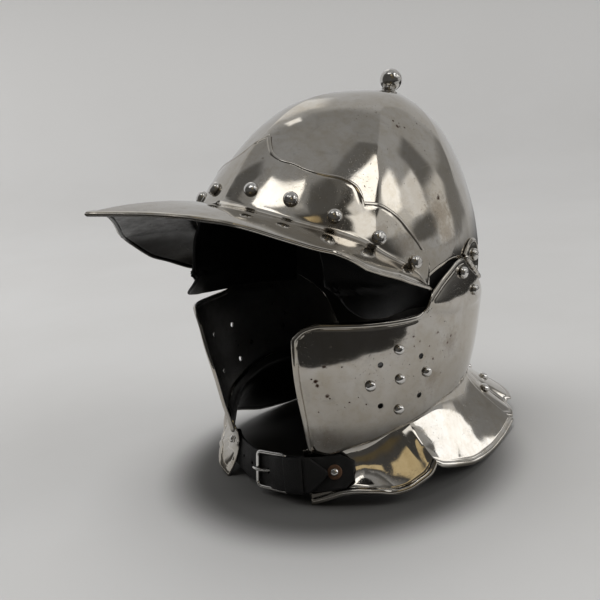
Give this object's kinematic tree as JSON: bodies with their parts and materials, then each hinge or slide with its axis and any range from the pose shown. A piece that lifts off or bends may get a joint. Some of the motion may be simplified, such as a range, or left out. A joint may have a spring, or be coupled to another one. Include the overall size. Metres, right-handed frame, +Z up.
{
  "type": "close helmet with open face",
  "caption": "Steel close helmet with a ridged skull, pointed peak, hinged cheek pieces, flared collar and buckled chin strap.",
  "frame": {"origin": "middle of the footprint, on the surface that the helmet stands on", "axes": "+Z up, -Y to the helmet's front, +X to the wearer's left"},
  "size_m": [0.2286, 0.3506, 0.2897],
  "materials": {
    "polished_steel": "polished plate with small pits and stains",
    "bright_steel": "bright polished rivet heads and finial",
    "black_leather": "black, grained, slightly worn",
    "nickel_wire": "bright plated wire",
    "brown_leather": "brown, raw edge"
  },
  "bodies": {
    "root": {"skull": "polished_steel", "peak": "polished_steel", "finial": "bright_steel", "brow_rivet_1": "bright_steel", "brow_rivet_2": "bright_steel", "brow_rivet_3": "bright_steel", "brow_rivet_4": "bright_steel", "brow_rivet_5": "bright_steel", "brow_rivet_6": "bright_steel", "brow_rivet_7": "bright_steel", "brow_rivet_8": "bright_steel", "brow_rivet_9": "bright_steel", "brow_rivet_10": "bright_steel", "cheek_left": "polished_steel", "cheek_left_rivet_1": "bright_steel", "cheek_left_rivet_2": "bright_steel", "cheek_left_rivet_3": "bright_steel", "cheek_left_rivet_4": "bright_steel", "cheek_left_rivet_5": "bright_steel", "collar_left": "polished_steel", "hinge_leaf_left": "polished_steel", "hinge_barrel_left": "polished_steel", "hinge_screw_left": "bright_steel", "ear_rivet_left_1": "bright_steel", "ear_rivet_left_2": "bright_steel", "cheek_right": "polished_steel", "cheek_right_rivet_1": "bright_steel", "cheek_right_rivet_2": "bright_steel", "cheek_right_rivet_3": "bright_steel", "cheek_right_rivet_4": "bright_steel", "cheek_right_rivet_5": "bright_steel", "collar_right": "polished_steel", "hinge_leaf_right": "polished_steel", "hinge_barrel_right": "polished_steel", "hinge_screw_right": "bright_steel", "ear_rivet_right_1": "bright_steel", "ear_rivet_right_2": "bright_steel", "rear_neck_guard": "polished_steel", "guard_rivet_1": "bright_steel", "guard_rivet_2": "bright_steel", "guard_rivet_3": "bright_steel", "guard_rivet_4": "bright_steel", "guard_rivet_5": "bright_steel", "guard_rivet_6": "bright_steel", "guard_rivet_7": "bright_steel", "lining": "black_leather", "strap_billet": "black_leather", "strap_chape": "black_leather", "buckle_frame": "nickel_wire", "buckle_prong": "nickel_wire", "strap_keeper": "black_leather", "strap_washer": "brown_leather", "strap_rivet_near": "bright_steel", "strap_rivet_far": "bright_steel"}
  },
  "joints": []
}
